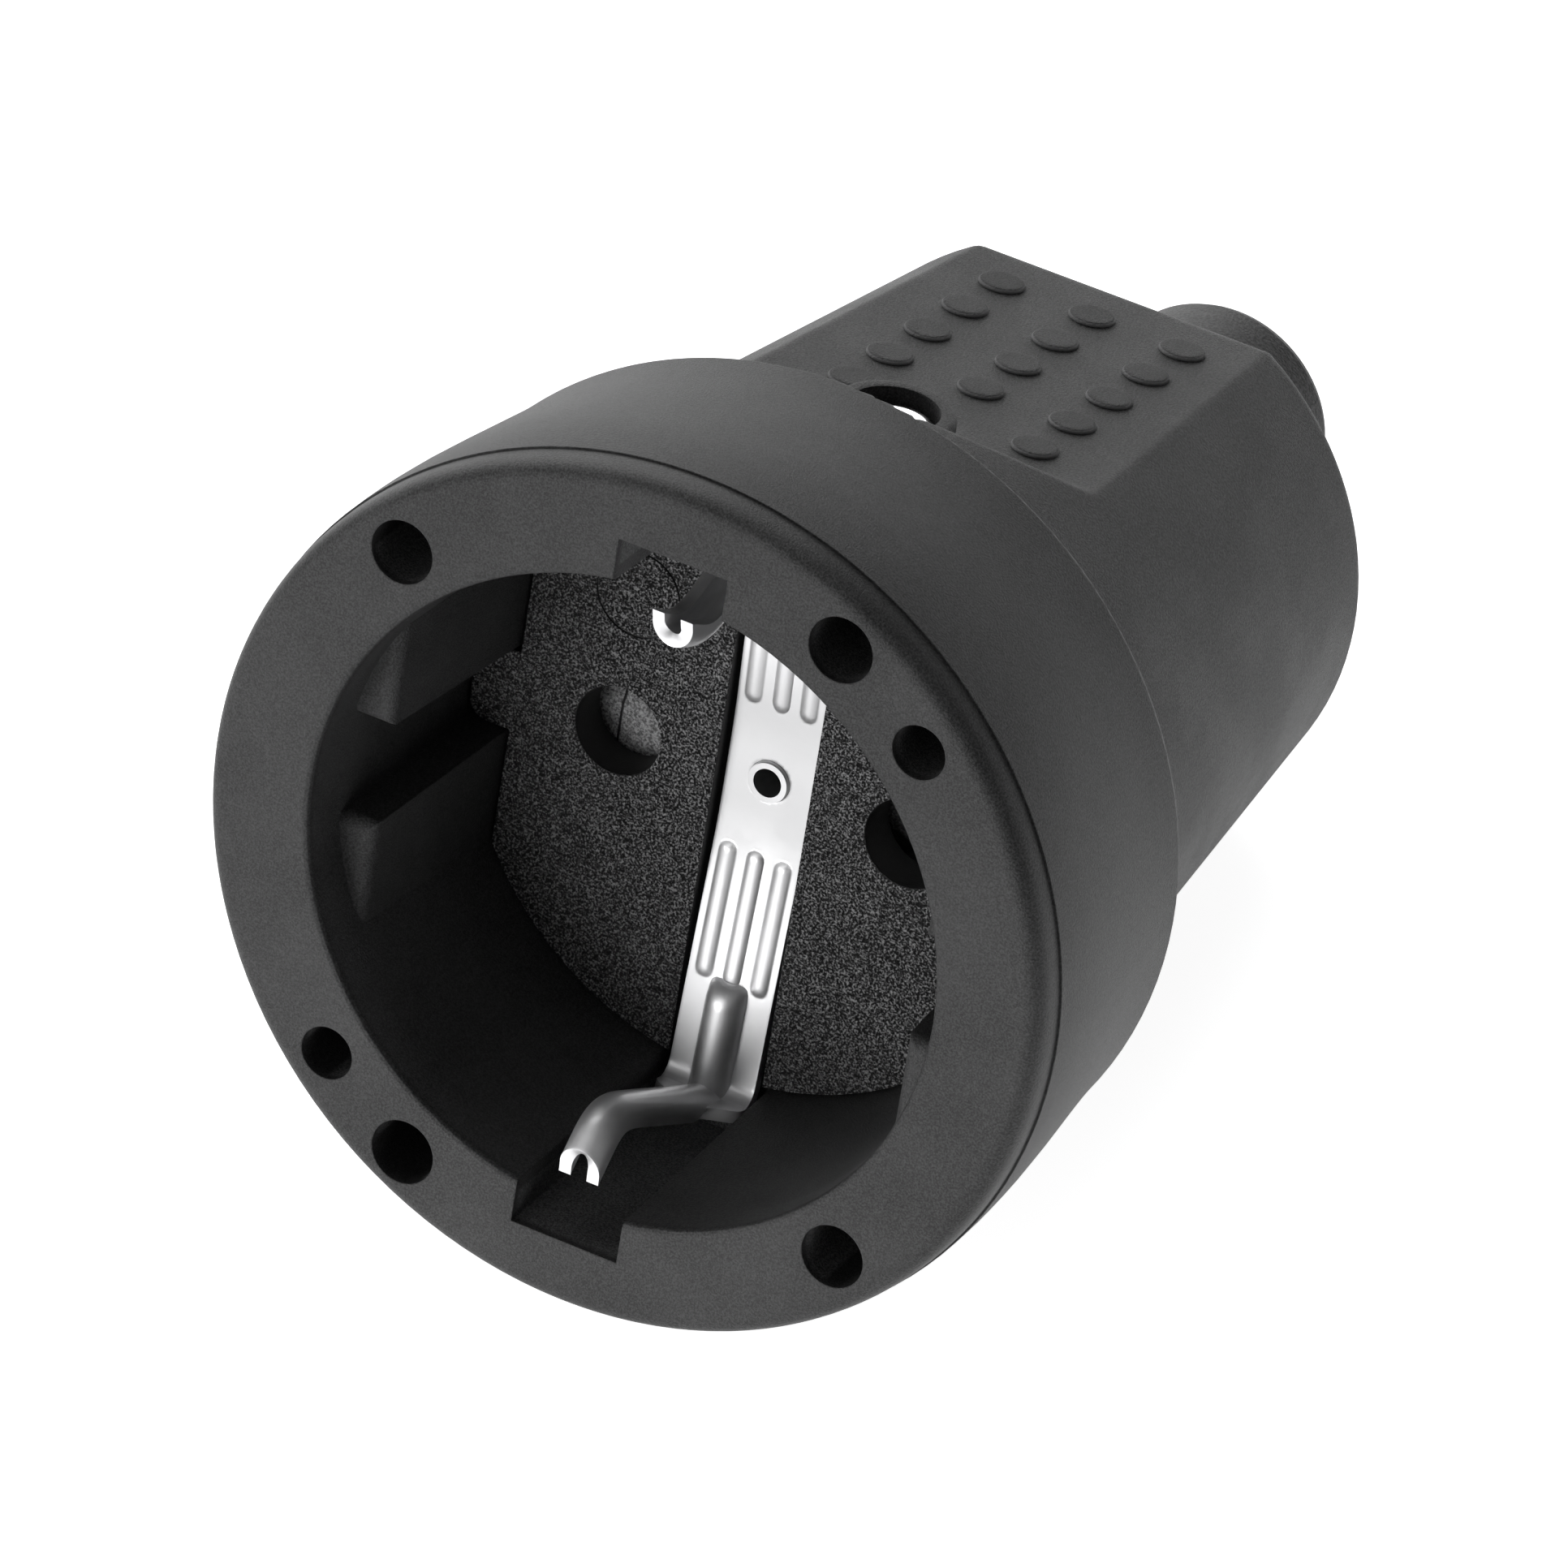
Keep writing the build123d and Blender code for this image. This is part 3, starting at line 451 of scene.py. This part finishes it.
def softened(points, spread):
    """Rows of points, each averaged with its neighbours by a bell curve; both ends stay."""
    index = np.arange(len(points))
    weight = np.exp(-0.5 * ((index[:, None] - index[None, :]) / spread) ** 2)
    smooth = (weight / weight.sum(1, keepdims=True)) @ points
    end = np.minimum(index, index[::-1]) / (2.5 * spread)
    keep = np.clip(1.0 - end, 0.0, 1.0)[:, None]
    return smooth * (1.0 - keep) + points * keep


def clip_path(step, valley, tip):
    """Line (y, z) of one arm: up the insert, round the bend, down the sprung clip to its tip."""
    corner = (STRAP_LINE - (BEND - LIFT_FROM) * LIFT, BEND)
    stops = np.array([(STRAP_LINE, 0.0), (STRAP_LINE, LIFT_FROM), corner, valley, tip])
    far = np.concatenate([[0.0], np.cumsum(np.hypot(*np.diff(stops, axis=0).T))])
    at = np.arange(0.0, far[-1] + step / 2, step)
    line = np.stack([np.interp(at, far, stops[:, 0]), np.interp(at, far, stops[:, 1])], axis=1)
    return at, softened(line, 0.0011 / step)


def smooth_step(value, low, high):
    """0 below low, 1 above high, and a cubic with level ends between them."""
    t = np.clip((value - low) / (high - low), 0.0, 1.0)
    return t * t * (3.0 - 2.0 * t)


def strap_arm(valley, tip):
    """One arm of the strap as a grid of points: path length by place across.

    Across: a flat wing, a half-round rib of radius RIB, a flat wing.
    The rib rises from the sheet before the bend and goes on alone as the clip, where
    the wings end and turn down into its legs. Three long beads stand on the flat part.
    Near the tip every point slides back along the path in proportion to its height,
    which cuts the clip off square to the socket's axis.
    """
    step = 0.00018
    at, line = clip_path(step, valley, tip)
    run = np.gradient(line, step, axis=0)
    run /= np.linalg.norm(run, axis=1, keepdims=True)
    side = np.stack([-run[:, 1], run[:, 0]], axis=1)
    start = np.clip((at - RIB_START) / 0.0012, 0.0, 1.0)
    rib = np.sqrt(start * (2.0 - start))[:, None]
    half = STRAP_HALF - (STRAP_HALF - RIB) * smooth_step(at, 0.0228, 0.0249)
    lift = 0.0006 * smooth_step(at, 0.0192, BEND) - 0.0003 * smooth_step(at, 0.0226, 0.0250)
    lift = (lift - 0.0003)[:, None]
    leg = (CLIP_LEG * smooth_step(at, 0.0240, 0.0262))[:, None]
    columns = 61
    t = np.linspace(-1.0, 1.0, columns)
    arc = np.clip(np.abs(t) / RIB_SHARE, 0.0, 1.0) * (math.pi / 2)
    over = np.clip((np.abs(t) - RIB_SHARE) / (1.0 - RIB_SHARE), 0.0, 1.0)[None, :]
    across = np.sign(t) * (RIB * np.sin(arc)[None, :] + (half[:, None] - RIB) * over)
    height = lift + rib * (RIB * np.cos(arc)[None, :] - lift) * (over == 0.0) - leg * over
    column = np.arange(columns)
    kernel = np.exp(-0.5 * ((column[:, None] - column[None, :]) / 1.3) ** 2)
    kernel /= kernel.sum(1, keepdims=True)
    height = height @ kernel.T
    along = np.maximum(np.abs(at - BEAD_MIDDLE) - BEAD_HALF, 0.0)[:, None]
    for place in BEAD_PLACES:
        off = np.hypot(across - place, along)
        height = height + BEAD_RISE * (1.0 - smooth_step(off, 0.00012, 0.00052))
    slide = -0.9 * height * smooth_step(at, at[-1] - 0.0027, at[-1])[:, None]
    y = line[:, 0, None] + side[:, 0, None] * height + run[:, 0, None] * slide
    z = line[:, 1, None] + side[:, 1, None] * height + run[:, 1, None] * slide
    return np.stack([across, y, z], axis=-1)


def earth_strap():
    """Stamped strap with its two sprung clips: one thin sheet of two arms that meet at the rivet."""
    lower = strap_arm(*LOWER_CLIP)[:0:-1] * np.array([1.0, 1.0, -1.0])
    grid = np.concatenate([lower, strap_arm(*UPPER_CLIP)], axis=0)
    return sheet_piece("earth_strap_sheet", grid, RIVET_HOLE)


def sheet_piece(name, grid, hole):
    """Mesh of a grid of points in the socket's own frame, with a round hole at its middle.

    Quads whose middle lies within the hole's radius are left out, and the points round
    the gap are then drawn straight in or out to that radius.
    """
    rows, columns = grid.shape[:2]
    points = grid.reshape(-1, 3).copy()
    index = np.arange(rows * columns).reshape(rows, columns)
    quads = np.stack([index[:-1, :-1], index[:-1, 1:], index[1:, 1:], index[1:, :-1]], axis=-1)
    quads = quads.reshape(-1, 4)
    far = np.hypot(points[:, 0], points[:, 2])
    quads = quads[far[quads].mean(1) > hole]
    edge, count = np.unique(np.sort(np.concatenate(
        [quads[:, [0, 1]], quads[:, [1, 2]], quads[:, [2, 3]], quads[:, [3, 0]]]), axis=1),
        axis=0, return_counts=True)
    rim = np.unique(edge[count == 1])
    rim = rim[far[rim] < 2.0 * hole]
    points[rim, 0] *= hole / far[rim]
    points[rim, 2] *= hole / far[rim]
    used, inverse = np.unique(quads, return_inverse=True)
    return smooth_piece(name, points[used], inverse.reshape(-1, 4))


def smooth_piece(name, points, *faces):
    """Smooth-shaded object of points in the socket's own frame, leant back with the socket."""
    turn = np.array(Matrix.Rotation(-LEAN, 3, "X"))
    faces = sum((block.tolist() for block in faces), [])
    mesh = bpy.data.meshes.new(name)
    mesh.from_pydata((points @ turn.T).tolist(), [], faces)
    mesh.polygons.foreach_set("use_smooth", np.ones(len(faces), dtype=bool))
    piece = bpy.data.objects.new(name, mesh)
    bpy.context.collection.objects.link(piece)
    return piece


SCREW_PLACE = 0.0275
HEAD_R, HEAD_LOW, HEAD_TOP, HEAD_DISH = 0.0024, 0.0173, 0.01986, 0.0007
SHANK_R, SHANK_TIP = 0.0015, 0.0104
# cross of the head: half width, reach and depth
CROSS_HALF, CROSS_REACH, CROSS_DEEP = 0.00029, 0.001325, 0.0009
CROSS_TURN = math.radians(22)


def screw_surface():
    """Cross-head screw that stands in Z, closed at both poles: points, quads and end fans.

    Rows follow a profile of radius and height: tip, shank, underside, rounded rim, dished top.
    Columns are the angle. The dish falls in a straight line towards the middle. The cross is
    a trough wherever the distance from X or from Y is under its half width, as far as its
    arms reach.
    """
    dish = np.linspace(1.0, 0.03, 40)
    outside = np.array([
        (0.0006, SHANK_TIP),
        (SHANK_R - 0.0004, SHANK_TIP + 0.0004),
        (SHANK_R, SHANK_TIP + 0.0012),
        (SHANK_R, HEAD_LOW - 0.0001),
        (SHANK_R + 0.0001, HEAD_LOW),
        (HEAD_R - 0.0001, HEAD_LOW),
        (HEAD_R, HEAD_LOW + 0.0001),
        (HEAD_R, HEAD_TOP - 0.00018),
        (HEAD_R - 0.00006, HEAD_TOP - 0.00006),
        (HEAD_R - 0.00018, HEAD_TOP),
        (HEAD_R - 0.0003, HEAD_TOP),
    ])
    inside = np.stack([(HEAD_R - 0.00036) * dish, HEAD_TOP - HEAD_DISH * (1.0 - dish)], axis=1)
    profile = np.concatenate([outside, inside])
    top = len(outside) - 2
    turn = np.linspace(0.0, 2.0 * math.pi, 120, endpoint=False)
    x = profile[:, 0, None] * np.cos(turn)[None, :]
    y = profile[:, 0, None] * np.sin(turn)[None, :]
    z = np.repeat(profile[:, 1, None], len(turn), axis=1)
    near_x, near_y = (
        1.0 - smooth_step(np.abs(p), CROSS_HALF - 0.00005, CROSS_HALF + 0.00005) for p in (x, y))
    reach_x, reach_y = (
        1.0 - smooth_step(np.abs(p), CROSS_REACH - 0.000125, CROSS_REACH + 0.000125) for p in (x, y))
    cross = np.maximum(near_y * reach_x, near_x * reach_y)
    z[top:] -= CROSS_DEEP * cross[top:]
    rows, columns = z.shape
    points = np.stack([x, y, z], axis=-1).reshape(-1, 3)
    index = np.arange(rows * columns).reshape(rows, columns)
    after = np.roll(index, -1, axis=1)
    quads = np.stack([index[:-1], after[:-1], after[1:], index[1:]], axis=-1).reshape(-1, 4)
    foot, crown = len(points), len(points) + 1
    poles = [(0.0, 0.0, SHANK_TIP - 0.0001), (0.0, 0.0, points[-1, 2])]
    points = np.concatenate([points, poles])
    fans = np.concatenate([
        np.stack([np.full(columns, foot), after[0], index[0]], axis=1),
        np.stack([np.full(columns, crown), index[-1], after[-1]], axis=1),
    ])
    return points, quads, fans


def add_screws():
    """The two housing screws: one stands in the upper well, one hangs in the lower."""
    points, quads, fans = screw_surface()
    turn = np.array(Matrix.Rotation(CROSS_TURN, 3, "Z"))
    upper = points @ turn.T + np.array([0.0, SCREW_PLACE, 0.0])
    lower = upper * np.array([-1.0, 1.0, -1.0])
    both, more = np.concatenate([upper, lower]), len(points)
    screws = smooth_piece("housing_screw_pair", both, quads, fans, quads + more, fans + more)
    screws.data.materials.append(FINISHES["bright_screw"])
    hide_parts("housing_screws")
    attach(screws, "housing")


def add_strap():
    """The strap's sheet with its thickness and eased edges, in place of the plain CAD strap."""
    strap = earth_strap()
    wall = strap.modifiers.new("wall", "SOLIDIFY")
    wall.thickness = SHEET
    wall.offset = 0.0
    edge = strap.modifiers.new("edge", "BEVEL")
    edge.width = 0.00009
    edge.segments = 2
    edge.limit_method = "ANGLE"
    edge.angle_limit = math.radians(50)
    strap.data.materials.append(FINISHES["plated_strap"])
    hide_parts("earth_strap")
    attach(strap, "housing")


def set_camera():
    """Camera at the photograph's place: fitted position and turn, in the part's frame."""
    right = Vector((0.87490052, 0.48379373, 0.02219703))
    down = Vector((0.34150255, -0.58378291, -0.7365959))
    ahead = Vector((-0.34340223, 0.65202848, -0.67596877))
    data = bpy.data.cameras.new("camera")
    data.sensor_width = 36.0
    data.lens = 326.557
    data.clip_start, data.clip_end = 0.05, 20.0
    camera = bpy.data.objects.new("camera", data)
    bpy.context.collection.objects.link(camera)
    turn = Matrix((right, -down, -ahead)).transposed().to_4x4()
    camera.matrix_world = Matrix.Translation((0.2805761, -0.5131053, 0.5460168)) @ turn
    bpy.context.scene.camera = camera


def floor():
    """Plain pale table top under the socket's lowest point; it glows, and for light and reflections
    its glow and colour are a painted pool of light round the socket.
    """
    low = CAD_BOX[0].z
    half = 3.0
    mesh = bpy.data.meshes.new("table_top")
    corners = [(-half, -half, low), (half, -half, low), (half, half, low), (-half, half, low)]
    mesh.from_pydata(corners, [], [(0, 1, 2, 3)])
    top = bpy.data.objects.new("table_top", mesh)
    bpy.context.collection.objects.link(top)
    material, net, shader, where = new_material("pale_table")
    clouds = net.group(CLOUD, Vector=where, Size=0.1)["Cloud"]
    far = net.add("ShaderNodeVectorMath", operation="DISTANCE")
    net.feed(far.inputs[0], where)
    far.inputs[1].default_value = (0.04, 0.06, low)
    # painted pool of light: other rays than the camera's find the table's glow and colour painted
    # dimmer far from the socket and in front of it
    pool = net.ramp(far.outputs["Value"], 0.14, 0.45, 1.0, 0.3)
    front = net.add("ShaderNodeVectorMath", operation="DOT_PRODUCT")
    net.feed(front.inputs[0], where)
    front.inputs[1].default_value = (-0.36, -0.93, 0.0)
    pool = net.math("MULTIPLY", pool, net.ramp(front.outputs["Value"], 0.02, 0.12, 1.0, 0.3))
    seen = net.add("ShaderNodeLightPath").outputs["Is Camera Ray"]
    bright = net.math("MAXIMUM", seen, pool)
    pale = net.mix(clouds, grey(0.8), grey(0.82))
    net.feed(shader.inputs["Base Color"], net.mix(bright, grey(0.2), pale))
    shader.inputs["Roughness"].default_value = 0.9
    shader.inputs["Specular IOR Level"].default_value = 0.1
    shader.inputs["Emission Color"].default_value = (1, 1, 1, 1)
    net.feed(shader.inputs["Emission Strength"], net.math("MULTIPLY", bright, 0.9))
    mesh.materials.append(material)


def area_light(name, place, aim, size, power):
    """Soft rectangular lamp at a place, turned towards a point."""
    data = bpy.data.lights.new(name, "AREA")
    data.shape = "RECTANGLE"
    data.size, data.size_y = size
    data.energy = power
    light = bpy.data.objects.new(name, data)
    bpy.context.collection.objects.link(light)
    light.location = place
    light.rotation_mode = "QUATERNION"
    light.rotation_quaternion = (Vector(aim) - Vector(place)).to_track_quat("-Z", "Y")


def studio():
    """Pale room with a bright ceiling, a bright wall at the left and back, and a dim right side."""
    world = bpy.data.worlds.new("pale_room")
    bpy.context.scene.world = world
    world.use_nodes = True
    net = Net(world.node_tree)
    look = net.add("ShaderNodeTexCoord").outputs["Generated"]
    glow = 0.08
    for aim, low, high, level in (
        ((-0.34, 0.39, 0.855), 0.84, 0.97, 2.2),
        ((-0.76, 0.65, 0.0), 0.64, 0.9, 2.8),
    ):
        dot = net.add("ShaderNodeVectorMath", operation="DOT_PRODUCT")
        net.feed(dot.inputs[0], look)
        dot.inputs[1].default_value = aim
        glow = net.math("ADD", glow, net.ramp(dot.outputs["Value"], low, high, 0.0, level))
    seen = net.add("ShaderNodeLightPath").outputs["Is Camera Ray"]
    back = world.node_tree.nodes["Background"]
    back.inputs["Color"].default_value = (1, 1, 1, 1)
    net.feed(back.inputs["Strength"], net.blend(seen, glow, 0.9))
    recess = (0.0, 0.01, 0.0)
    area_light("front_card", (-0.3, -0.7, 0.08), recess, (0.6, 0.2), 4.2)
    area_light("high_card", (-0.2, -0.7, 0.5), recess, (0.5, 0.4), 0.7)


add_strap()
add_screws()
set_camera()
floor()
studio()
bpy.context.scene.view_settings.view_transform = "Standard"
